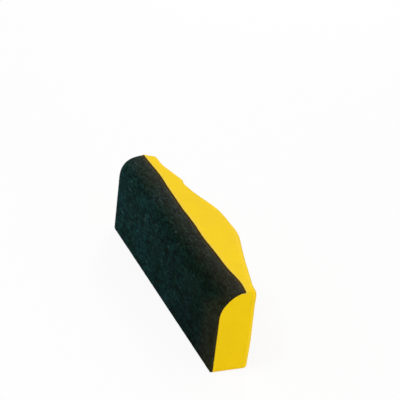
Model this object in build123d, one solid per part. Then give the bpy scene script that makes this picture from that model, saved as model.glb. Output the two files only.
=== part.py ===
from build123d import *

import os
from math import cos, radians, sin, tan

# Hand sanding block: a moulded foam grip with a hook facing bonded to its pad side and one rounded edge.
#
# Millimetres.  X runs along the block, Z across its width from the square long edge (Z = 0, on which the
# block stands) to the rounded one, and Y through its depth, from the facing (-Y) to the grip (+Y).  The
# origin is the middle of the underside of the whole block.  Depths are measured from the facing's outer
# plane into the block, so depth 0 lies at Y = -CREST_DEPTH / 2.

# Overall form
LENGTH = 198.0          # along X, the length of a standard 70 x 198 mm strip
WIDTH = 62.0            # across Z
END_DEPTH = 28.3        # depth of the flat stretch at each end
CREST_DEPTH = 46.0      # depth at the crest of the grip

# Facing, from the foam outwards
FILM_THICK = 0.2        # bonding film
TAPE_THICK = 0.6        # woven backing of the hook tape
HOOK_HEIGHT = 1.0       # hooks standing on the backing
HOOK_BED = 0.3          # matted feet of the hooks, between the rows
HOOK_ROW_PITCH = 2.2    # from one woven row of hooks to the next
HOOK_ROW_TOP = 1.3      # width of a row's level top
HOOK_ROW_FOOT = 1.8     # width of a row at the bed
SELVEDGE = 0.6          # bare strip along each long edge of the tape

# Rounded long edge of the pad side: a tight arc off the flat, then a wide one up to the facing's edge
TIGHT_RADIUS = 18.0
WIDE_RADIUS = 22.0
TIGHT_TURN = 65.0       # degrees turned by the tight arc, the wide one turns the rest of a right angle

# Grip seen from the side.  Each slope leaves the end flat at its foot and would meet the crest's level at
# its top, both measured from that slope's own end.  The far slope eases at a lip, where the fingertips rest.
NEAR_FOOT = 0.05 * LENGTH
NEAR_TOP = 0.392 * LENGTH
FAR_FOOT = 0.086 * LENGTH
FAR_LIP = 0.2 * LENGTH
FAR_LIP_DEPTH = END_DEPTH + 0.39 * (CREST_DEPTH - END_DEPTH)
FAR_TOP = 0.477 * LENGTH
FOOT_RADIUS = 30.0
FAR_LIP_RADIUS = 40.0
NEAR_CREST_SHARE = 0.26     # share of the crest's level that the arc off the near slope takes
FAR_CREST_SHARE = 0.38      # the same for the far slope's arc

# Rounding of the moulding
RIM_RADIUS = 3.0            # all round the grip face
TOP_CORNER_RADIUS = 5.5     # corners of the outline at the rounded long edge, above the facing
LOW_CORNER_RADIUS = 2.0     # corners of the outline at the square long edge, foam and facing alike

# Finger grooves on the far slope, and the thumb groove on the near one.  Each is a hollow left by a long
# ellipsoid, sunk into the slope at its middle and tilted so that its tip, away from the crest, goes deeper.
FINGER_RADIUS = 14.0                # round the ellipsoid
FINGER_HALF_LENGTH = 38.0
FINGER_DEPTH = 2.4
FINGER_PITCH = 22.0
FIRST_FINGER_Z = 13.4
FINGER_PLACES = (0.65, 0.49, 0.56)  # shares of the way up the slope, the square edge's finger first
FINGER_TILT = 8.0                   # degrees
THUMB_RADIUS = 10.0
THUMB_HALF_LENGTH = 30.0
THUMB_DEPTH = 3.6
THUMB_PLACE = 0.67                  # share of the way up the slope
THUMB_Z = 15.6
THUMB_SLANT = 13.0                  # degrees by which the groove veers away from the square edge, uphill
THUMB_TILT = 4.0                    # degrees
GROOVE_LIP_RADIUS = 2.5

TOUCHING = 1e-4             # how near counts as touching
LIP_SAMPLES = (0.2, 0.5, 0.8)       # places along an edge where that is tried
GRIP_FACING = 0.5           # least Y of a grip-side face's unit normal

NEAR_END = LENGTH / 2
FACING_THICK = FILM_THICK + TAPE_THICK + HOOK_HEIGHT


def depth_y(depth):
    """Y of a depth measured inwards from the facing's outer plane."""
    return depth - CREST_DEPTH / 2


def pad_outline(inset):
    """The pad side of the cross-section, set in evenly, from the square edge to the facing's edge."""
    turn = radians(TIGHT_TURN)
    wide_depth = TIGHT_RADIUS + (WIDE_RADIUS - TIGHT_RADIUS) * cos(turn)
    wide_z = WIDTH - WIDE_RADIUS
    tight_z = wide_z + (WIDE_RADIUS - TIGHT_RADIUS) * sin(turn)

    def arc_point(centre_depth, centre_z, radius, angle):
        reach = radius - inset
        return 0, depth_y(centre_depth - reach * cos(angle)), centre_z + reach * sin(angle)

    start = (0, depth_y(inset), 0)
    flat_end = arc_point(TIGHT_RADIUS, tight_z, TIGHT_RADIUS, 0)
    tight_middle = arc_point(TIGHT_RADIUS, tight_z, TIGHT_RADIUS, turn / 2)
    tight_end = arc_point(TIGHT_RADIUS, tight_z, TIGHT_RADIUS, turn)
    wide_middle = arc_point(wide_depth, wide_z, WIDE_RADIUS, (turn + radians(90)) / 2)
    wide_end = arc_point(wide_depth, wide_z, WIDE_RADIUS, radians(90))
    return Wire([
        Edge.make_line(start, flat_end),
        Edge.make_three_point_arc(flat_end, tight_middle, tight_end),
        Edge.make_three_point_arc(tight_end, wide_middle, wide_end),
    ])


def closed_face(outer, inner):
    """The face between two open outlines that run the same way."""
    start_cap = Edge.make_line(outer @ 0, inner @ 0)
    end_cap = Edge.make_line(outer @ 1, inner @ 1)
    return Face(Wire(outer.edges() + inner.edges() + [start_cap, end_cap]))


def along_block(face):
    """Extrudes a face of the cross-section over the whole length."""
    return extrude(face, amount=LENGTH / 2, dir=(1, 0, 0), both=True)


def plan_block():
    """The block's outline seen square to the pad, through its whole depth, with the low corners rounded."""
    sheet = Plane.XZ * Pos(0, WIDTH / 2) * Rectangle(LENGTH, WIDTH)
    low_corners = sheet.vertices().group_by(Axis.Z)[0]
    return extrude(fillet(low_corners, LOW_CORNER_RADIUS), amount=CREST_DEPTH, both=True)


def hook_outline():
    """The hooks' side of the tape: level-topped rows on a bed, laid at an even pitch round the outline."""
    tips = pad_outline(0)
    rows = int((tips.length - 2 * SELVEDGE) / HOOK_ROW_PITCH)
    first = (tips.length - (rows - 1) * HOOK_ROW_PITCH) / 2
    bed = HOOK_HEIGHT - HOOK_BED
    section = ((-HOOK_ROW_FOOT, bed), (-HOOK_ROW_TOP, 0), (HOOK_ROW_TOP, 0), (HOOK_ROW_FOOT, bed))

    def point(distance, inset):
        place = distance / tips.length
        inward = Vector(-1, 0, 0).cross(tips.tangent_at(place))
        return tips.position_at(place) + inward * inset

    points = [point(0, bed)]
    for row in range(rows):
        middle = first + row * HOOK_ROW_PITCH
        points += [point(middle + width / 2, inset) for width, inset in section]
    points.append(point(tips.length, bed))
    return Wire.make_polygon(points, close=False)


def facing_layer(outer, inner):
    """One layer of the facing, between two outlines of the cross-section."""
    return along_block(closed_face(outer, inner)) & plan_block()


class Slope:
    """One of the grip's two slopes up to the crest's level; `end` is -1 or 1 along X."""

    def __init__(self, end, start, start_depth, top, crest_share):
        self.start = Vector(end * (NEAR_END - start), depth_y(start_depth))
        self.top = Vector(end * (NEAR_END - top), depth_y(CREST_DEPTH))
        self.uphill = (self.top - self.start).normalized()
        crest = LENGTH - NEAR_TOP - FAR_TOP
        half_turn = radians(self.uphill.get_angle(Vector(-end, 0))) / 2
        self.crest_radius = crest_share * crest / tan(half_turn)

    def at(self, share, z):
        """A point on the slope, a share of the way up it."""
        return self.start + (self.top - self.start) * share + Vector(0, 0, z)


NEAR_SLOPE = Slope(1, NEAR_FOOT, END_DEPTH, NEAR_TOP, NEAR_CREST_SHARE)
FAR_SLOPE = Slope(-1, FAR_LIP, FAR_LIP_DEPTH, FAR_TOP, FAR_CREST_SHARE)


def grip_side_form():
    """The grip seen from the side: flat ends, two slopes and a rounded crest, over the whole width."""
    outline = FilletPolyline(
        (-NEAR_END, depth_y(END_DEPTH)),
        (FAR_FOOT - NEAR_END, depth_y(END_DEPTH)),
        FAR_SLOPE.start,
        FAR_SLOPE.top,
        NEAR_SLOPE.top,
        NEAR_SLOPE.start,
        (NEAR_END, depth_y(END_DEPTH)),
        radius=(FOOT_RADIUS, FAR_LIP_RADIUS, FAR_SLOPE.crest_radius, NEAR_SLOPE.crest_radius, FOOT_RADIUS),
    )
    pad_side = Polyline(
        outline @ 1,
        (NEAR_END, depth_y(0)),
        (-NEAR_END, depth_y(0)),
        outline @ 0,
    )
    return extrude(make_face(outline + pad_side), amount=WIDTH, dir=(0, 0, 1))


def foam_section():
    """The foam's cross-section, with the shoulder that the facing's edge butts against."""
    seat = pad_outline(FACING_THICK)
    facing_edge = pad_outline(0) @ 1
    back = Polyline(
        seat @ 1,
        facing_edge,
        (0, depth_y(CREST_DEPTH), WIDTH),
        (0, depth_y(CREST_DEPTH), 0),
        seat @ 0,
    )
    return Face(Wire(seat.edges() + back.edges()))


def rim_edges(body):
    """The edges all round the grip face, whose pieces are the faces that look towards +Y."""
    grip_faces = [face for face in body.faces() if face.normal_at().Y > GRIP_FACING]
    edges = [edge for face in grip_faces for edge in face.edges()]
    return [edge for edge in edges if sum(edge.is_same(other) for other in edges) == 1]


def groove_cutter(slope, share, z, slant, radius, half_length, depth, tilt):
    """A long ellipsoid sunk by `depth` into a slope, its downhill end tilted inwards."""
    outward = slope.uphill.cross(Vector(0, 0, 1))
    outward *= 1 if outward.Y > 0 else -1
    run = slope.uphill.rotate(Axis((0, 0, 0), outward), slant)
    across = run.cross(outward)
    tilted = run.rotate(Axis((0, 0, 0), across), tilt)
    middle = slope.at(share, z) + outward * (radius - depth)
    side = Plane(origin=middle, x_dir=tilted, z_dir=across)
    half_ellipse = EllipticalCenterArc((0, 0), half_length, radius, 0, arc_size=180)
    long_axis = Line((-half_length, 0), (half_length, 0))
    return revolve(side * make_face(half_ellipse + long_axis), Axis(side.origin, tilted))


def groove_cutters():
    """The three fingers' grooves side by side on the far slope, then the thumb's on the near slope."""
    finger_size = (FINGER_RADIUS, FINGER_HALF_LENGTH, FINGER_DEPTH, FINGER_TILT)
    thumb_size = (THUMB_RADIUS, THUMB_HALF_LENGTH, THUMB_DEPTH, THUMB_TILT)
    cutters = []
    for finger, share in enumerate(FINGER_PLACES):
        finger_z = FIRST_FINGER_Z + finger * FINGER_PITCH
        cutters.append(groove_cutter(FAR_SLOPE, share, finger_z, 0, *finger_size))
    cutters.append(groove_cutter(NEAR_SLOPE, THUMB_PLACE, THUMB_Z, THUMB_SLANT, *thumb_size))
    return cutters


def lip_edges(cut, before, cutter):
    """The edges along which a cutter broke through the surface that was there before."""
    surface = before.shell()

    def on_lip(edge):
        points = [edge.position_at(place) for place in LIP_SAMPLES]
        return all(shape.distance_to(point) < TOUCHING for shape in (surface, cutter) for point in points)

    return [edge for edge in cut.edges() if on_lip(edge)]


def grip_body():
    """The foam moulding, with its rims rounded and its grooves pressed in."""
    body = along_block(foam_section()) & grip_side_form() & plan_block()
    top_corners = body.edges().filter_by(Axis.Y).group_by(Axis.Z)[-1]
    body = fillet(top_corners, TOP_CORNER_RADIUS)
    body = fillet(rim_edges(body), RIM_RADIUS)
    for cutter in groove_cutters():
        grooved = body - cutter
        body = fillet(lip_edges(grooved, body, cutter), GROOVE_LIP_RADIUS)
    return body


def main():
    os.makedirs("parts", exist_ok=True)
    tape_seat = FACING_THICK - FILM_THICK
    pieces = {
        "grip_body": grip_body(),
        "bonding_film": facing_layer(pad_outline(tape_seat), pad_outline(FACING_THICK)),
        "hook_tape_backing": facing_layer(pad_outline(HOOK_HEIGHT), pad_outline(tape_seat)),
        "hook_rows": facing_layer(hook_outline(), pad_outline(HOOK_HEIGHT)),
    }
    for name, piece in pieces.items():
        export_step(piece, f"parts/{name}.step")


main()
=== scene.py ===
"""Looks of the hand sanding block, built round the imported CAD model.

The CAD frame: X along the block, Y from the facing (-Y) to the grip (+Y), Z up across the width, with the
origin in the middle of the underside.  The block's sizes are in millimetres, and each mesh is scaled to
metres as it is made.  Lamps and camera are placed in metres.  Depth is measured from the facing's outer face.
A place on the facing is (x, s), where s runs round that face from the square edge, up the level part and over
the rounded edge to the seam with the foam.
"""

from math import cos, pi, radians, sin, sqrt, tan

import bmesh
import bpy
import numpy as np
from mathutils import Matrix, Vector, noise

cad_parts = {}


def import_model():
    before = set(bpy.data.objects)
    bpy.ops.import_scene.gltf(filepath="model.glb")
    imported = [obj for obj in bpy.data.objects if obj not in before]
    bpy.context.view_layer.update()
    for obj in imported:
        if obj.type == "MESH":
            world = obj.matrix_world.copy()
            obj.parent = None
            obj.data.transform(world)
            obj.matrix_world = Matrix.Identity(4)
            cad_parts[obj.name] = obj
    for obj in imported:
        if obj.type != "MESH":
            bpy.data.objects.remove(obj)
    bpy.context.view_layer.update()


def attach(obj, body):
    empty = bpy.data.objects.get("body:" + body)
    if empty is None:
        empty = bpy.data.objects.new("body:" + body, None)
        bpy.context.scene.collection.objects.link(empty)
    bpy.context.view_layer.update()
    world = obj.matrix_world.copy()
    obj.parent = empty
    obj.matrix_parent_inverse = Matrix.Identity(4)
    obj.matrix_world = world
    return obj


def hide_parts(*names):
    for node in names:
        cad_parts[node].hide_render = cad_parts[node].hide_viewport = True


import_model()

MM = 0.001

# --------------------------------------------------------------------------------------- sizes of the block
LENGTH = 198.0
WIDTH = 62.0
END_DEPTH = 28.3
CREST_DEPTH = 46.0
HALF = LENGTH / 2

# The rounded edge turns TIGHT_TURN degrees on one radius and the rest on a wider one.  Over the last
# FULLER_LONG towards the far end it stands more and more, up to FULLER, outside those arcs.
TIGHT_RADIUS, WIDE_RADIUS, TIGHT_TURN = 18.0, 22.0, 65.0
FULLER, FULLER_LONG = 1.3, 90.0

# The grip's outline along the block, as distances from the near and the far end, and its fillets.
NEAR_FOOT, NEAR_TOP = 0.05 * LENGTH, 0.392 * LENGTH
FAR_FOOT, FAR_LIP, FAR_TOP = 0.086 * LENGTH, 0.2 * LENGTH, 0.477 * LENGTH
FAR_LIP_DEPTH = END_DEPTH + 0.36 * (CREST_DEPTH - END_DEPTH)
FOOT_RADIUS, FAR_LIP_RADIUS, FAR_CREST_RADIUS, NEAR_CREST_RADIUS = 30.0, 24.0, 100.0, 52.0
FILLET_STEP = radians(0.4)

RIM_RADIUS = 3.0            # all round the grip
TOP_CORNER_RADIUS = 5.5     # the block's upper corners at the grip
SEAM_CORNER_RADIUS = 0.6    # the same corners at the seam
LOW_CORNER_RADIUS = 2.0
SHOULDER_RADIUS = 0.7       # the foam's edge above the seam

# Hollows pressed into the grip: (x, z) of the blunt tip, the way uphill in degrees off the X axis, length,
# half width and depth.  The fingers' lie on the far slope, the thumb's on the near one.
FINGER_WIDE, FINGER_LONG = 9.6, 50.0
HOLLOWS = (
    (-54.5, 13.4, 0.0, FINGER_LONG, FINGER_WIDE, 3.2),
    (-62.0, 35.4, 0.0, FINGER_LONG, FINGER_WIDE, 3.5),
    (-57.3, 57.2, 0.0, FINGER_LONG, FINGER_WIDE, 2.6),
    (62.0, 11.0, 167.0, 44.0, 8.6, 3.4),
)
BOWL_POWER = 3              # the higher, the flatter the floor and the steeper the walls
LIP_SOFTNESS = 0.4
FADE_START = 0.35           # share of its length at which a hollow starts to fade out

# The skin sinks below its nominal surface in soft swells and smaller ripples, as (depth, wave length, seed).
# It stays level wherever the noise is above WAVE_TOP, and each seed reads its own part of the noise.
SKIN_WAVES = ((0.7, 26.0, 1), (0.15, 9.0, 2))
WAVE_TOP = 0.45
WAVE_SHIFT = (17.3, 5.1, 11.7)

# -------------------------------------------------------------------------------------- sizes of the facing
FACING_THICK = 1.8                      # film, backing and hooks together
BACKING_OUT, BACKING_IN = 0.6, 1.6      # insets of the backing's two sides from the facing's outer face
FRAY, FRAY_SEED = 0.2, 3                # wander of the backing's cut edges

# The upper edge is trimmed by hand, TRIM_BACK short of its nominal line, in waves of (x, half length, rise).
TRIM_BACK = 1.6
TRIM_WAVES = ((-67.0, 17.0, 1.1), (-15.0, 12.0, -0.5), (25.0, 13.5, -0.8), (86.0, 14.3, 2.1))
TAPE_CORNER = 1.5

# The foam laps over the facing's near end, from LAP_START round the outline and fully from LAP_FULL short of
# the seam.
LAP_START, LAP_FULL = 56.0, 1.0
LAP_LONG = 0.3              # length of foam that laps
LAP_SINK = 0.15             # how far it stays below the facing's outer face
LAP_ROOM = 0.5              # how much shorter the facing is there

# Hooks: the path of one as (bend, height), its half thickness along it, and the spacing in and between lines.
HOOK_PATH = ((0.0, -0.10), (0.0, 0.32), (0.10, 0.53), (0.29, 0.57), (0.42, 0.40))
HOOK_THICK = (0.16, 0.12, 0.11, 0.10, 0.06)
HOOK_SIDES = 3
HOOK_SEED = 11
HOOK_PITCH, LINE_PITCH = 1.6, 1.25
HOOK_BORDER = 0.9                       # bare border round the rows
END_CLEAR, SEAM_CLEAR = 0.55, 0.6       # least distances from the facing's cut edges
STRAY_ALONG, STRAY_ROUND = 0.13, 0.10
HOOKS_LOST = 0.02                       # share of the hooks that are missing
YAW_SPREAD, LEAN_SPREAD = 0.35, 0.12    # radians
HOOK_TALL = (0.78, 0.93)                # range of heights, as shares of the path's
TONE_SPREAD, TONE_DROP = 0.62, 0.19     # uneven brightness from hook to hook

# ------------------------------------------------------------------------------ marks and painted light on the foam and facing
MARK_REACH = 1.0                        # how far below the block's top the seam's marks show
GLUE_SHADOW_BAND, GLUE_SHADOW_FADE = 0.12, 0.25       # glue stain with painted shadow on the foam, up from the seam
SEAM_HIGHLIGHT_STRENGTH, SEAM_HIGHLIGHT_FADE = 0.8, 1.5          # painted highlight: paler foam on the rounded edge at the seam
RIM_HIGHLIGHT_FADE = 3.2                         # painted highlight: paler foam along the grip's rounded rim

# Brown on the facing: partly glue and partly painted reflection of the yellow foam along the seam, and brown
# over the near end.  Past TINT_TURN round the outline its edge draws back by TINT_SLANT for each millimetre.
SEAM_TINT_BAND, SEAM_TINT_FADE = 0.4, 2.2
NEAR_TINT, NEAR_TINT_LONG, NEAR_TINT_FADE = 0.26, 14.0, 17.0
EDGE_TINT, EDGE_TINT_FADE = 0.36, 4.5
TINT_TURN, TINT_SLANT = 42.0, 0.9

# The strip next to the seam is painted darker, as painted shadow in the seam.
SEAM_DARK, SEAM_DARK_START, SEAM_DARK_FADE = 0.3, 0.5, 1.2
# Patches where the facing is darker or brighter, as (x, s, half length, half width, change).
TONE_PATCHES = (
    (58.0, 6.0, 28.0, 20.0, -0.36),
    (-76.0, 5.0, 20.0, 12.0, 0.22),
    (-22.0, 34.0, 14.0, 9.0, 0.25),
    (0.0, 49.0, 26.0, 8.0, -0.16),
    (52.0, 41.0, 22.0, 9.0, 0.16),
)
NAP_SHARE = 0.55            # scale of the grain along the tape, as a share: the pile lies that way

# Specks of lint, thicker towards the far end.
LINT_SEED, LINT_COUNT = 5, 26
LINT_SPREAD = (1.3, 2.2)    # shape of the beta curve that places them along the block
LINT_ROUND = (10, 60)
LINT_SIZE = (0.5, 1.1)
LINT_STRENGTH = (0.35, 1.0)

# --------------------------------------------------------------------------------------- fineness of meshes
FOAM_STEP = 0.9
END_ZONE, END_STEPS = 6.0, 12           # closer rings near the block's ends
RIM_STEPS = 8
SEAT_POINTS = 40
SHOULDER_POINTS = 5
TOP_STEPS = 13
UNDERSIDE_POINTS = 22
CAP_SHARES = (0.97, 0.9, 0.8, 0.66, 0.5, 0.34, 0.17)
CAP_DEPTH, CAP_Z = 16.0, 32.0           # the point that each end's rings shrink to
LAYER_ALONG, LAYER_ROUND = 300, 100
FRAY_KNOTS, END_FRAY_KNOTS = 90, 60
FRAY_FROM = 0.9                         # share of the half length past which the ends fray
MERGE = 0.002                           # points closer than this become one


def depth_y(depth):
    return depth - CREST_DEPTH / 2


def smooth_step(t):
    t = np.clip(t, 0, 1)
    return t * t * (3 - 2 * t)


# --------------------------------------------------------------------------------------------- the pad side
TURN = radians(TIGHT_TURN)
WIDE_DEPTH = TIGHT_RADIUS + (WIDE_RADIUS - TIGHT_RADIUS) * cos(TURN)
WIDE_Z = WIDTH - WIDE_RADIUS
FLAT = WIDE_Z + (WIDE_RADIUS - TIGHT_RADIUS) * sin(TURN)        # width of the level part
TIGHT_END = FLAT + TIGHT_RADIUS * TURN
OUTLINE = TIGHT_END + WIDE_RADIUS * (pi / 2 - TURN)             # the facing's width, laid flat


def pad_point(x, s, inset):
    """(depth, z) at a place on the facing, set in from its outer face, and the angle turned so far."""
    s = np.asarray(s, float)
    a = np.where(s < TIGHT_END, (s - FLAT) / TIGHT_RADIUS, TURN + (s - TIGHT_END) / WIDE_RADIUS)
    a = np.clip(a, 0.0, pi / 2)
    wide = a > TURN
    centre_depth = np.where(wide, WIDE_DEPTH, TIGHT_RADIUS)
    centre_z = np.where(wide, WIDE_Z, FLAT)
    fuller = FULLER * smooth_step(1 - (np.asarray(x, float) + HALF) / FULLER_LONG) * np.sin(2 * a) ** 2
    reach = np.where(wide, WIDE_RADIUS, TIGHT_RADIUS) - inset + fuller
    depth = np.where(s <= FLAT, inset, centre_depth - reach * np.cos(a)) + np.maximum(s - OUTLINE, 0)
    z = np.where(s <= FLAT, s, centre_z + reach * np.sin(a))
    return depth, z, a


def corner_inset(from_end, radius):
    """How far a corner's arc draws the long edge in, at a distance from the end."""
    d = np.minimum(from_end, radius)
    return radius - np.sqrt(np.maximum(radius ** 2 - (radius - d) ** 2, 0))


def trim(x):
    """How far the hand-trimmed upper edge of the facing runs past its nominal line."""
    x = np.asarray(x, float)
    beyond = np.maximum(np.abs(x) - HALF + TAPE_CORNER, 0)
    corner = TAPE_CORNER - np.sqrt(TAPE_CORNER ** 2 - beyond ** 2)
    waved = sum(rise * np.exp(-((x - middle) / long) ** 2) for middle, long, rise in TRIM_WAVES)
    return waved - TRIM_BACK - corner


def foam_lap(x, s):
    """0 to 1: how far the foam laps over the facing's near end, more and more towards the seam."""
    rise = (np.asarray(s, float) - LAP_START) / (OUTLINE - LAP_FULL - LAP_START)
    return smooth_step(rise) * (np.asarray(x, float) > 0)


def facing_reach(side, s):
    """How far the facing reaches from the middle; side is below 0 for the far end, above 0 for the near."""
    return HALF - corner_inset(np.asarray(s, float), LOW_CORNER_RADIUS) - LAP_ROOM * foam_lap(side, s)


SEAM_DEPTH = float(pad_point(0, OUTLINE, 0)[0])


# -------------------------------------------------------------------------------------------- the grip side
def filleted(points, radii):
    """A polyline with an arc at each inner corner, as points."""
    out = [points[0]]
    for before, corner, after, radius in zip(points, points[1:], points[2:], radii):
        a, b, c = (np.array(p, float) for p in (before, corner, after))
        u = (a - b) / np.linalg.norm(a - b)
        v = (c - b) / np.linalg.norm(c - b)
        half = np.arccos(np.clip(u @ v, -1, 1)) / 2
        start = b + u * radius / tan(half)
        middle = b + (u + v) / np.linalg.norm(u + v) * radius / sin(half)
        arm = start - middle
        turn = (pi - 2 * half) * np.sign(np.cross(-u, v))
        steps = int(abs(turn) / FILLET_STEP) + 1
        for k in range(steps + 1):
            t = turn * k / steps
            out.append((middle[0] + arm[0] * cos(t) - arm[1] * sin(t),
                        middle[1] + arm[0] * sin(t) + arm[1] * cos(t)))
    out.append(points[-1])
    return np.array(out)


SIDE = filleted(
    [(-HALF, END_DEPTH), (-HALF + FAR_FOOT, END_DEPTH), (-HALF + FAR_LIP, FAR_LIP_DEPTH),
     (-HALF + FAR_TOP, CREST_DEPTH), (HALF - NEAR_TOP, CREST_DEPTH), (HALF - NEAR_FOOT, END_DEPTH),
     (HALF, END_DEPTH)],
    [FOOT_RADIUS, FAR_LIP_RADIUS, FAR_CREST_RADIUS, NEAR_CREST_RADIUS, FOOT_RADIUS])


def side_depth(x):
    return np.interp(x, SIDE[:, 0], SIDE[:, 1])


def hollow(x, z, tip_x, tip_z, heading, length, wide, deep):
    """Depth of a finger's hollow: a channel with a blunt tip and soft lips that fades out uphill."""
    way = radians(heading)
    u = (x - tip_x) * cos(way) + (z - tip_z) * sin(way)
    v = (z - tip_z) * cos(way) - (x - tip_x) * sin(way)
    bowl = 1 - (np.hypot(v, np.maximum(wide - u, 0)) / wide) ** BOWL_POWER
    share = np.clip(0.5 + bowl / LIP_SOFTNESS / 2, 0, 1)
    bowl = np.where(share < 1, share ** 2 * LIP_SOFTNESS, bowl)
    return deep * bowl * (1 - smooth_step((u / length - FADE_START) / (1 - FADE_START)))


def edge_distance(x, z):
    """Distance inwards from the block's outline, seen square to the pad."""
    from_end = HALF - np.abs(x)
    up, low = WIDTH - z, z
    plain = np.minimum(from_end, np.minimum(up, low))
    for side, radius in ((up, TOP_CORNER_RADIUS), (low, LOW_CORNER_RADIUS)):
        corner = (from_end < radius) & (side < radius)
        plain = np.where(corner, radius - np.hypot(radius - from_end, radius - side), plain)
    return np.maximum(plain, 0.0)


def grip_depth(x, z):
    """Depth of the grip's surface: the side's outline, the hollows and the rounded rim."""
    depth = side_depth(x) - sum(hollow(x, z, *which) for which in HOLLOWS)
    inward = np.minimum(edge_distance(x, z), RIM_RADIUS)
    return depth - (RIM_RADIUS - np.sqrt(RIM_RADIUS ** 2 - (RIM_RADIUS - inward) ** 2))


def waves(points, size, seed):
    """Smooth noise at each point, about -1 to 1; size is the length of a wave in mm."""
    shift = seed * Vector(WAVE_SHIFT)
    return np.array([noise.noise(Vector(p) / size + shift) for p in points])


def unevenness(x, z):
    """How far the moulded grip sinks below its nominal surface."""
    points = np.stack([x, np.zeros_like(x), z], -1)
    return sum(deep * np.maximum(WAVE_TOP - waves(points, size, seed), 0) for deep, size, seed in SKIN_WAVES)


# ----------------------------------------------------------------------------------------------- mesh tools
def new_object(name, verts, faces, look):
    mesh = bpy.data.meshes.new(name)
    mesh.from_pydata([tuple(v) for v in np.asarray(verts) * MM], [], faces)
    mesh.validate()
    mesh.materials.append(look)
    obj = bpy.data.objects.new(name, mesh)
    bpy.context.scene.collection.objects.link(obj)
    return obj


def give(obj, name, values):
    """Stores one value per vertex under a name for the material to read."""
    store = obj.data.attributes.new(name, "FLOAT", "POINT")
    store.data.foreach_set("value", np.asarray(values, np.float32))


def close_up(obj, sharp_angle):
    """Merges points that coincide, turns every face outwards and smooths all but the sharp edges."""
    mesh = obj.data
    work = bmesh.new()
    work.from_mesh(mesh)
    bmesh.ops.remove_doubles(work, verts=work.verts, dist=MERGE * MM)
    bmesh.ops.recalc_face_normals(work, faces=work.faces)
    if work.calc_volume(signed=True) < 0:
        bmesh.ops.reverse_faces(work, faces=work.faces)
    work.to_mesh(mesh)
    work.free()
    mesh.shade_smooth()
    mesh.set_sharp_from_angle(angle=radians(sharp_angle))


def strip_faces(one, other):
    """Quads between two closed rings of point numbers."""
    pairs = list(zip(one, other))
    return [(a, c, d, b) for (a, b), (c, d) in zip(pairs, pairs[1:] + pairs[:1])]


def tube_faces(rings, ring):
    """Quads between consecutive closed rings of points."""
    loops = [range(i * ring, (i + 1) * ring) for i in range(rings)]
    return [face for one, other in zip(loops, loops[1:]) for face in strip_faces(one, other)]


# ------------------------------------------------------------------------------------------- material tools
def material(name):
    mat = bpy.data.materials.new(name)
    mat.use_nodes = True
    tree = mat.node_tree
    return mat, tree, tree.nodes["Principled BSDF"]


def add(tree, kind, **values):
    """A new node, with each value given to the input or the property of that name."""
    node = tree.nodes.new(kind)
    for key, value in values.items():
        if key in node.inputs.keys():
            node.inputs[key].default_value = value
        else:
            setattr(node, key, value)
    return node


def object_point(tree):
    return add(tree, "ShaderNodeTexCoord").outputs["Object"]


def cloud(tree, where, scale, detail, roughness):
    """Soft noise; a scale of 1000 has a wave about a millimetre long."""
    node = add(tree, "ShaderNodeTexNoise", Scale=scale, Detail=detail, Roughness=roughness)
    tree.links.new(where, node.inputs["Vector"])
    return node.outputs["Fac"]


def mark(tree, name):
    """The value that a mesh stores under a name."""
    return add(tree, "ShaderNodeAttribute", attribute_name=name).outputs["Fac"]


def stretch(tree, source, low, high, to_low, to_high):
    """Turns the range low to high into the range to_low to to_high."""
    node = add(tree, "ShaderNodeMapRange")
    for name, value in (("From Min", low), ("From Max", high), ("To Min", to_low), ("To Max", to_high)):
        node.inputs[name].default_value = value
    tree.links.new(source, node.inputs["Value"])
    return node.outputs["Result"]


def ramp(tree, source, stops):
    """Colours by value; a stop's colour may be one number, for a grey."""
    node = tree.nodes.new("ShaderNodeValToRGB")
    tree.links.new(source, node.inputs["Fac"])
    elements = node.color_ramp.elements
    while len(elements) < len(stops):
        elements.new(0.5)
    for element, (place, colour) in zip(elements, stops):
        element.position = place
        element.color = (*colour, 1) if isinstance(colour, tuple) else (colour, colour, colour, 1)
    return node.outputs["Color"]


def blend(tree, way, share, one, two):
    """Mixes two colours; each may be a socket or a constant."""
    node = add(tree, "ShaderNodeMix", data_type="RGBA", blend_type=way)
    for socket, value in ((node.inputs[0], share), (node.inputs[6], one), (node.inputs[7], two)):
        if isinstance(value, bpy.types.NodeSocket):
            tree.links.new(value, socket)
        else:
            socket.default_value = (*value, 1) if isinstance(value, tuple) else value
    return node.outputs[2]


def chained(tree, way, first, *rest):
    for other in rest:
        first = blend(tree, way, 1.0, first, other)
    return first


def bump(tree, height, strength, distance, below=None):
    node = add(tree, "ShaderNodeBump", Strength=strength, Distance=distance)
    tree.links.new(height, node.inputs["Height"])
    if below:
        tree.links.new(below, node.inputs["Normal"])
    return node.outputs["Normal"]


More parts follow.
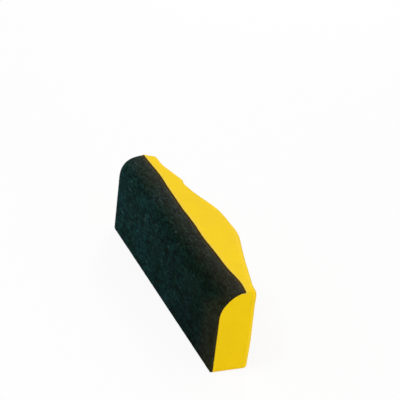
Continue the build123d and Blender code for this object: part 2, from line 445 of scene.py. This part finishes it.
# ------------------------------------------------------------------------------------------------ materials
def foam_material():
    """Yellow moulded foam: a slightly uneven skin with fine grain and scattered pores."""
    mat, tree, shader = material("yellow_foam_skin")
    where = object_point(tree)
    broad = cloud(tree, where, 38.0, 3.0, 0.55)
    fine = cloud(tree, where, 900.0, 4.0, 0.6)
    pores = add(tree, "ShaderNodeTexVoronoi", Scale=420.0, feature="F1")
    tree.links.new(where, pores.inputs["Vector"])
    yellow = ramp(tree, broad, [
        (0.30, (0.85, 0.570, 0.002)), (0.50, (0.88, 0.595, 0.002)), (0.72, (0.91, 0.625, 0.004))])
    pits = ramp(tree, pores.outputs["Distance"], [(0.055, 0.72), (0.10, 1)])
    speckle = ramp(tree, fine, [(0.30, (0.955, 0.95, 0.93)), (0.62, 1)])
    skin = chained(tree, "MULTIPLY", yellow, pits, speckle)
    # painted highlight: paler foam along the grip's rounded rim
    skin = blend(tree, "MIX", mark(tree, "rim_highlight"), skin, (0.98, 0.665, 0.032))
    # painted highlight: paler foam on the rounded edge at the seam
    skin = blend(tree, "MIX", mark(tree, "seam_highlight"), skin, (0.80, 0.575, 0.070))
    # glue stain and painted shadow along the seam, dark brown
    skin = blend(tree, "MIX", mark(tree, "glue_and_shadow"), skin, (0.050, 0.018, 0.002))
    tree.links.new(skin, shader.inputs["Base Color"])
    tree.links.new(stretch(tree, broad, 0.0, 1.0, 0.58, 0.74), shader.inputs["Roughness"])
    shader.inputs["Specular IOR Level"].default_value = 0.075
    grain = bump(tree, fine, 0.35, 0.00012)
    tree.links.new(bump(tree, pits, 0.5, 0.00015, grain), shader.inputs["Normal"])
    return mat


def tape_material(name, lift):
    """Black nylon with a blue-green cast, painted greyer and paler over the rounded edge as sheen; `lift`
    scales it all.
    """
    mat, tree, shader = material(name)
    where = object_point(tree)
    nap = add(tree, "ShaderNodeMapping", Scale=(NAP_SHARE, 1.0, 1.0))
    tree.links.new(where, nap.inputs["Vector"])
    nap = nap.outputs["Vector"]

    black = ramp(tree, cloud(tree, nap, 34.0, 5.0, 0.75), [
        (0.34, (0.0038, 0.0150, 0.0095)), (0.50, (0.0042, 0.0230, 0.0205)), (0.68, (0.0070, 0.0320, 0.0350))])
    axes = add(tree, "ShaderNodeSeparateXYZ")
    tree.links.new(where, axes.inputs["Vector"])
    # painted light: lighter and bluer towards the far end, darker and browner towards the near end
    along = ramp(tree, stretch(tree, axes.outputs["X"], -HALF * MM, HALF * MM, 0.0, 1.0), [
        (0.0, (1.34, 1.50, 1.66)), (0.5, (1.02, 1.04, 1.05)), (1.0, (0.80, 0.58, 0.38))])
    turn = mark(tree, "turn")
    # painted sheen: greyer and warmer over the rounded edge, which faces up to the light
    greyer = ramp(tree, turn, [(0.10, 1), (0.42, (1.05, 0.74, 0.60)), (0.8, (1.0, 0.6, 0.5))])
    flecks = blend(tree, "MULTIPLY", 1.0,
                   ramp(tree, cloud(tree, nap, 260.0, 2.0, 0.6), [(0.36, 0.66), (0.64, 1.36)]),
                   ramp(tree, cloud(tree, nap, 700.0, 3.0, 0.8), [(0.38, 0.35), (0.62, 1.8)]))
    soft_flecks = blend(tree, "MIX", 0.65, flecks, (1.0, 1.0, 1.0))
    # painted sheen: a pale warm grey added over the rounded edge, most at the seam
    painted_sheen = ramp(tree, turn, [
        (0.42, 0), (0.66, (0.013, 0.010, 0.007)),
        (0.84, (0.026, 0.022, 0.016)), (1.0, (0.042, 0.034, 0.026))])

    pile = blend(tree, "ADD", 1.0, chained(tree, "MULTIPLY", black, along, greyer, flecks),
                 blend(tree, "MULTIPLY", 1.0, painted_sheen, soft_flecks))
    pile = chained(tree, "MULTIPLY", pile, mark(tree, "tone"), (lift, lift, lift))
    specks = blend(tree, "MULTIPLY", 1.0, mark(tree, "lint"), (0.042, 0.064, 0.062))
    # brown along the seam, partly glue and partly painted reflection of the yellow foam, and over the near
    # end
    brown = chained(tree, "MULTIPLY", mark(tree, "brown_tint"), soft_flecks, (0.040, 0.022, 0.005))
    tree.links.new(chained(tree, "ADD", pile, specks, brown), shader.inputs["Base Color"])
    shader.inputs["Roughness"].default_value = 0.9
    shader.inputs["Specular IOR Level"].default_value = 0.04
    return mat


def glue_material():
    mat, tree, shader = material("dark_glue_film")
    brown = ramp(tree, cloud(tree, object_point(tree), 250.0, 3.0, 0.6), [
        (0.3, (0.035, 0.014, 0.003)), (0.7, (0.075, 0.036, 0.006))])
    tree.links.new(brown, shader.inputs["Base Color"])
    shader.inputs["Roughness"].default_value = 0.45
    shader.inputs["Specular IOR Level"].default_value = 0.2
    return mat


# ------------------------------------------------------------------------------------------------- the foam
def end_spaced(reach, count):
    """Distances from an end that crowd towards it, up to but without `reach`."""
    return [reach * (1 - cos(pi / 2 * k / count)) for k in range(count)]


def foam_stations():
    """Places along the block for the foam's rings."""
    ends = end_spaced(END_ZONE, END_STEPS)
    middle = np.linspace(-HALF + END_ZONE, HALF - END_ZONE, int((LENGTH - 2 * END_ZONE) / FOAM_STEP) + 1)
    return np.concatenate([[-HALF + d for d in ends], middle, [HALF - d for d in ends[::-1]]])


def foam_ring(x):
    """The foam's section at x as (depth, z): the facing's seat, shoulder, top, grip and underside."""
    from_end = HALF - abs(x)
    z_seam = WIDTH - float(corner_inset(from_end, SEAM_CORNER_RADIUS))
    z_high = WIDTH - float(corner_inset(from_end, TOP_CORNER_RADIUS))
    z_low = float(corner_inset(from_end, LOW_CORNER_RADIUS))
    seam = SEAM_DEPTH + float(trim(x))
    seat = np.linspace(0, OUTLINE, SEAT_POINTS)
    lap = (from_end < LAP_LONG) * foam_lap(x, seat) * (FACING_THICK - LAP_SINK)
    seat_depth, seat_z, _ = pad_point(x, seat, FACING_THICK - lap)
    ring = list(zip(np.minimum(seat_depth, seam), np.maximum(seat_z, z_low)))
    ring += [(seam + SHOULDER_RADIUS * (1 - cos(t)), z_seam - SHOULDER_RADIUS * (1 - sin(t)))
             for t in np.linspace(0, pi / 2, SHOULDER_POINTS)]

    rim = end_spaced(RIM_RADIUS, RIM_STEPS)
    level = np.linspace(z_high - RIM_RADIUS, z_low + RIM_RADIUS, int((WIDTH - 2 * RIM_RADIUS) / FOAM_STEP))
    zs = np.concatenate([[z_high - r for r in rim], level, [z_low + r for r in rim[::-1]]])
    xs = np.full(len(zs), x)
    depths = grip_depth(xs, zs) - unevenness(xs, zs)
    top_start = seam + SHOULDER_RADIUS
    for k in range(1, TOP_STEPS):
        d = top_start + (depths[0] - top_start) * k / TOP_STEPS
        ring.append((d, z_seam + (z_high - z_seam) * float(smooth_step((d - seam) / (END_DEPTH - seam)))))
    ring += list(zip(depths, zs))
    ring += [(d, z_low) for d in np.linspace(depths[-1], FACING_THICK, UNDERSIDE_POINTS)[1:-1]]
    return ring


def foam_marks(stations, depth, z):
    """At each point of its rings, 0 to 1: glue stain with painted shadow, and painted highlights at seam and
    rim.
    """
    above = depth - SEAM_DEPTH - trim(stations)[:, None]
    upper = z > WIDTH - MARK_REACH
    # glue stain and painted shadow at the seam
    glue_and_shadow = np.exp(-(np.maximum(above - GLUE_SHADOW_BAND, 0) / GLUE_SHADOW_FADE) ** 2) * upper
    glue_and_shadow *= (np.abs(stations) < HALF - LAP_LONG)[:, None]
    # painted highlight on the foam's edge at the seam
    seam_highlight = SEAM_HIGHLIGHT_STRENGTH * np.exp(-(above / SEAM_HIGHLIGHT_FADE) ** 2) * upper
    # painted highlight along the rim
    from_rim = np.hypot(side_depth(stations)[:, None] - depth, edge_distance(stations[:, None], z))
    rim_highlight = np.exp(-(from_rim / RIM_HIGHLIGHT_FADE) ** 2)
    return {"glue_and_shadow": glue_and_shadow, "seam_highlight": seam_highlight, "rim_highlight": rim_highlight}


def foam_grip():
    stations = foam_stations()
    rings = np.array([foam_ring(x) for x in stations])
    count, ring = rings.shape[:2]
    depth, z = rings[:, :, 0], rings[:, :, 1]
    points = np.stack([np.broadcast_to(stations[:, None], depth.shape), depth_y(depth), z], -1)
    verts = list(points.reshape(-1, 3))
    faces = tube_faces(count, ring)
    for end in (0, count - 1):
        hub = np.array((stations[end], depth_y(CAP_DEPTH), CAP_Z))
        last = range(end * ring, (end + 1) * ring)
        for share in CAP_SHARES:
            here = range(len(verts), len(verts) + ring)
            verts += list(hub + (points[end] - hub) * share)
            faces += strip_faces(last, here)
            last = here
        faces += [(last[j - 1], last[j], len(verts)) for j in range(ring)]
        verts.append(hub)
    obj = new_object("foam_grip", verts, faces, FOAM)
    for name, values in foam_marks(stations, depth, z).items():
        give(obj, name, np.concatenate([values.ravel(), np.zeros(len(verts) - values.size)]))
    close_up(obj, sharp_angle=40)
    return obj


# ----------------------------------------------------------------------------------------------- the facing
def facing_point(x, s, inset):
    """Points on the facing, set in from its outer face, and the angle turned there."""
    depth, z, a = pad_point(x, s, inset)
    return np.stack([x, depth_y(depth), z], -1), a


def shade(x, s):
    """How bright the facing is: painted shadow next to the seam, and darker or brighter in patches."""
    from_seam = OUTLINE + trim(x) - s
    # painted shadow in the seam: darker next to it
    even = SEAM_DARK + (1 - SEAM_DARK) * smooth_step((from_seam - SEAM_DARK_START) / SEAM_DARK_FADE)
    for at_x, at_s, long, wide, change in TONE_PATCHES:
        even *= 1 + change * np.exp(-((x - at_x) / long) ** 2 - ((s - at_s) / wide) ** 2)
    return even


def brown_tint(x, s):
    """Where the facing is brown, 0 to 1: glue and painted reflection of the foam at the seam, and the near
    end.
    """
    # along the seam: partly glue, partly painted reflection of the yellow foam
    seam = 1 - smooth_step((OUTLINE + trim(x) - s - SEAM_TINT_BAND) / SEAM_TINT_FADE)
    # brown over the near end
    inward = HALF - x + TINT_SLANT * np.maximum(s - TINT_TURN, 0)
    near_brown = NEAR_TINT * (1 - smooth_step((inward - NEAR_TINT_LONG) / NEAR_TINT_FADE))
    return np.maximum(seam, near_brown + EDGE_TINT * np.exp(-inward / EDGE_TINT_FADE))


def lint(x, s):
    """Specks of lint caught by the facing, most of them towards the far end: 0 to 1."""
    rng = np.random.default_rng(LINT_SEED)
    held = np.zeros(np.shape(x))
    for _ in range(LINT_COUNT):
        at_x = -HALF + LENGTH * rng.beta(*LINT_SPREAD)
        at_s = rng.uniform(*LINT_ROUND)
        wide = rng.uniform(*LINT_SIZE)
        strength = rng.uniform(*LINT_STRENGTH)
        held += strength * np.exp(-((x - at_x) ** 2 * NAP_SHARE + (s - at_s) ** 2) / wide ** 2)
    return np.minimum(held, 1.0)


def facing_marks(x, s):
    """What the tape's material reads: how far the tape has turned over the edge, and the marks on it."""
    turn = np.clip((s - FLAT) / (OUTLINE - FLAT), 0, 1)
    return {"turn": turn, "tone": shade(x, s), "lint": lint(x, s), "brown_tint": brown_tint(x, s)}


def layer(name, outer, inner, fray, look):
    """A sheet of the facing between two insets, closed all round, its trimmed edges wandering by up to
    `fray`.
    """
    rng = np.random.default_rng(FRAY_SEED)

    def wander(count, knots):
        return np.interp(np.linspace(0, 1, count), np.linspace(0, 1, knots), rng.uniform(0, fray, knots))

    u = np.linspace(-1, 1, LAYER_ALONG)
    low = wander(LAYER_ALONG, FRAY_KNOTS)
    high = OUTLINE + trim(u * HALF) - wander(LAYER_ALONG, FRAY_KNOTS)
    s = low[:, None] + (high - low)[:, None] * np.linspace(0, 1, LAYER_ROUND)
    ends = wander(LAYER_ROUND, END_FRAY_KNOTS) * (np.abs(u) > FRAY_FROM)[:, None]
    x = u[:, None] * (facing_reach(u[:, None], s) - ends)
    verts = np.vstack([facing_point(x, s, inset)[0].reshape(-1, 3) for inset in (outer, inner)])

    grid = np.arange(x.size).reshape(x.shape)
    quads = np.stack([grid[:-1, :-1], grid[:-1, 1:], grid[1:, 1:], grid[1:, :-1]], -1).reshape(-1, 4)
    edge = np.concatenate([grid[:, 0], grid[-1, 1:], grid[-2::-1, -1], grid[0, -2:0:-1]])
    faces = quads.tolist() + (quads[:, ::-1] + x.size).tolist()
    faces += strip_faces(edge.tolist(), (edge + x.size).tolist())
    obj = new_object(name, verts, faces, look)
    for mark_name, values in facing_marks(x, s).items():
        give(obj, mark_name, np.tile(values.ravel(), 2))
    close_up(obj, sharp_angle=50)
    return obj


# ------------------------------------------------------------------------------------------------ the hooks
def hook_shape():
    """One hook's points as (bend, height, across): a ring at each point of its path."""
    path, thick = np.array(HOOK_PATH), np.array(HOOK_THICK)
    slope = np.gradient(path, axis=0)
    slope /= np.linalg.norm(slope, axis=1)[:, None]
    corners = []
    for k in range(HOOK_SIDES):
        t = 2 * pi * k / HOOK_SIDES + pi / 6
        normal = thick * sin(t)
        corners.append(np.stack([path[:, 0] - slope[:, 1] * normal, path[:, 1] + slope[:, 0] * normal,
                                 thick * cos(t)], -1))
    return np.stack(corners, 1).reshape(-1, 3)


def hook_places(rng):
    """Where each hook stands, as x and s, and which way it faces, 1 or -1."""
    lines = int((OUTLINE - 2 * HOOK_BORDER) / LINE_PITCH)
    first = (OUTLINE - (lines - 1) * LINE_PITCH) / 2
    places = []
    for line in range(lines):
        odd = line % 2
        start = -HALF + HOOK_BORDER + odd * HOOK_PITCH / 2
        for x in np.arange(start, HALF - HOOK_BORDER, HOOK_PITCH):
            places.append((x, first + line * LINE_PITCH, 1 if odd else -1))
    x, s, way = np.array(places).T
    x = x + rng.normal(0, STRAY_ALONG, len(x))
    s = s + rng.normal(0, STRAY_ROUND, len(s))
    on_tape = (np.abs(x) < facing_reach(x, s) - END_CLEAR) & (s < OUTLINE + trim(x) - SEAM_CLEAR)
    kept = on_tape & (rng.random(len(x)) > HOOKS_LOST)
    return x[kept], s[kept], way[kept]


def hooks():
    """The hooks, each a bent filament, in lines along the tape that face alternate ways."""
    rng = np.random.default_rng(HOOK_SEED)
    x, s, way = hook_places(rng)
    count = len(x)
    yaw = (rng.normal(0, YAW_SPREAD, count) + np.where(way > 0, 0, pi))[:, None]
    lean = rng.normal(0, LEAN_SPREAD, count)[:, None]
    tall = rng.uniform(*HOOK_TALL, count)[:, None, None]
    base, a = facing_point(x, s, BACKING_OUT)
    none, one = np.zeros(count), np.ones(count)
    out = np.stack([none, -np.cos(a), np.sin(a)], -1)
    side = np.stack([none, np.sin(a), np.cos(a)], -1)
    front = np.stack([one, none, none], -1)
    bend = front * np.cos(yaw) + side * np.sin(yaw)
    across = side * np.cos(yaw) - front * np.sin(yaw)
    rise = out * np.cos(lean) + across * np.sin(lean)
    shape = hook_shape()
    verts = (base[:, None] + bend[:, None] * shape[:, :1] + rise[:, None] * shape[:, 1:2] * tall
             + across[:, None] * shape[:, 2:])

    size = len(shape)
    single = tube_faces(len(HOOK_PATH), HOOK_SIDES)
    single += [tuple(range(HOOK_SIDES))[::-1], tuple(range(size - HOOK_SIDES, size))]
    faces = [tuple(point + hook * size for point in face) for hook in range(count) for face in single]
    obj = new_object("hook_field", verts.reshape(-1, 3), faces, HOOKS)
    rough = rng.normal(0, 1, count + 2)
    # neighbours in a line are alike
    rough = (0.5 * rough[:-2] + rough[1:-1] + 0.5 * rough[2:]) / sqrt(1.5)
    marks = facing_marks(x, s)
    marks["tone"] = marks["tone"] * np.exp(TONE_SPREAD * rough - TONE_DROP)
    for name, values in marks.items():
        give(obj, name, np.repeat(values, size))
    obj.data.shade_smooth()
    return obj


# ----------------------------------------------------------------------------------------------- the pieces
FOAM = foam_material()
TAPE = tape_material("black_tape_backing", 0.8)
HOOKS = tape_material("black_hooks", 1.07)
GLUE = glue_material()

grip = foam_grip()
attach(grip, "root")
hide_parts("grip_body")

film = layer("glue_film", BACKING_IN, FACING_THICK, 0.0, GLUE)
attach(film, "root")
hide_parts("bonding_film")

tape = layer("tape_backing", BACKING_OUT, BACKING_IN, FRAY, TAPE)
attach(tape, "root")
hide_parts("hook_tape_backing")

hook_field = hooks()
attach(hook_field, "root")
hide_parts("hook_rows")


# ----------------------------------------------------------------------------------------- floor and lights
FLOOR_HALF = 3000.0
FLOOR_GLOW = 0.88           # share of plain white in what the camera sees of the floor
SKY_LIGHT = 0.41
LAMP_AIM = Vector((0, 0, 0.03))
# Name, azimuth and elevation in degrees, distance and size in metres, and power in watts.
LAMPS = (
    ("key", 10.0, 62.0, 1.1, 0.6, 5.9),
    ("fill", 100.0, 15.0, 1.2, 0.6, 4.3),
    ("back", 240.0, 32.0, 1.2, 0.3, 4.3),
)


def toward(azimuth, elevation):
    """The way from the block to a lamp or camera; azimuth 0 is in front of the facing."""
    a, e = radians(azimuth), radians(elevation)
    return Vector((sin(a) * cos(e), -cos(a) * cos(e), sin(e)))


def floor():
    mat, tree, shader = material("pale_floor")
    shader.inputs["Base Color"].default_value = (0.86, 0.86, 0.86, 1)
    shader.inputs["Roughness"].default_value = 0.9
    shader.inputs["Specular IOR Level"].default_value = 0.0
    share = add(tree, "ShaderNodeMath", operation="MULTIPLY")
    share.inputs[1].default_value = FLOOR_GLOW
    tree.links.new(add(tree, "ShaderNodeLightPath").outputs["Is Camera Ray"], share.inputs[0])
    white = add(tree, "ShaderNodeEmission", Color=(1, 1, 1, 1))
    mix = add(tree, "ShaderNodeMixShader")
    tree.links.new(share.outputs[0], mix.inputs["Fac"])
    tree.links.new(shader.outputs[0], mix.inputs[1])
    tree.links.new(white.outputs[0], mix.inputs[2])
    tree.links.new(mix.outputs[0], tree.nodes["Material Output"].inputs["Surface"])
    corners = [(x * FLOOR_HALF, y * FLOOR_HALF, 0) for x, y in ((-1, -1), (1, -1), (1, 1), (-1, 1))]
    obj = new_object("floor", corners, [(0, 1, 2, 3)], mat)


def world():
    """Plain white: dimmer as a light than as what the camera sees."""
    studio = bpy.data.worlds.new("studio")
    bpy.context.scene.world = studio
    studio.use_nodes = True
    tree = studio.node_tree
    sky = tree.nodes["Background"]
    sky.inputs["Color"].default_value = (1, 1, 1, 1)
    sky.inputs["Strength"].default_value = SKY_LIGHT
    backdrop = add(tree, "ShaderNodeBackground", Color=(1, 1, 1, 1), Strength=1.0)
    mix = add(tree, "ShaderNodeMixShader")
    tree.links.new(add(tree, "ShaderNodeLightPath").outputs["Is Camera Ray"], mix.inputs["Fac"])
    tree.links.new(sky.outputs[0], mix.inputs[1])
    tree.links.new(backdrop.outputs[0], mix.inputs[2])
    tree.links.new(mix.outputs[0], tree.nodes["World Output"].inputs["Surface"])


def lamp(name, azimuth, elevation, distance, size, power):
    way = toward(azimuth, elevation)
    data = bpy.data.lights.new(name, "AREA")
    data.shape = "DISK"
    data.size = size
    data.energy = power
    obj = bpy.data.objects.new(name, data)
    bpy.context.scene.collection.objects.link(obj)
    obj.location = LAMP_AIM + way * distance
    obj.rotation_euler = way.to_track_quat("Z", "Y").to_euler()


floor()
world()
for each in LAMPS:
    lamp(*each)

# --------------------------------------------------------------------------------------------------- camera
AIM = Vector((0.0, 0.0001, 0.0773))
AZIMUTH, ELEVATION, ROLL = 65.04, 28.79, 6.94
DISTANCE = 1.2826
LENS, SENSOR = 164.3, 36.0


def camera():
    back = toward(AZIMUTH, ELEVATION)
    level = Vector((cos(radians(AZIMUTH)), sin(radians(AZIMUTH)), 0))
    upright = back.cross(level)
    roll = radians(ROLL)
    right = level * cos(roll) + upright * sin(roll)
    up = upright * cos(roll) - level * sin(roll)
    data = bpy.data.cameras.new("camera")
    data.sensor_width = SENSOR
    data.lens = LENS
    data.clip_start, data.clip_end = 0.05, 50.0
    obj = bpy.data.objects.new("camera", data)
    bpy.context.scene.collection.objects.link(obj)
    place = Matrix((right, up, back)).transposed().to_4x4()
    place.translation = AIM + back * DISTANCE
    obj.matrix_world = place
    bpy.context.scene.camera = obj


camera()
bpy.context.scene.view_settings.view_transform = "Standard"
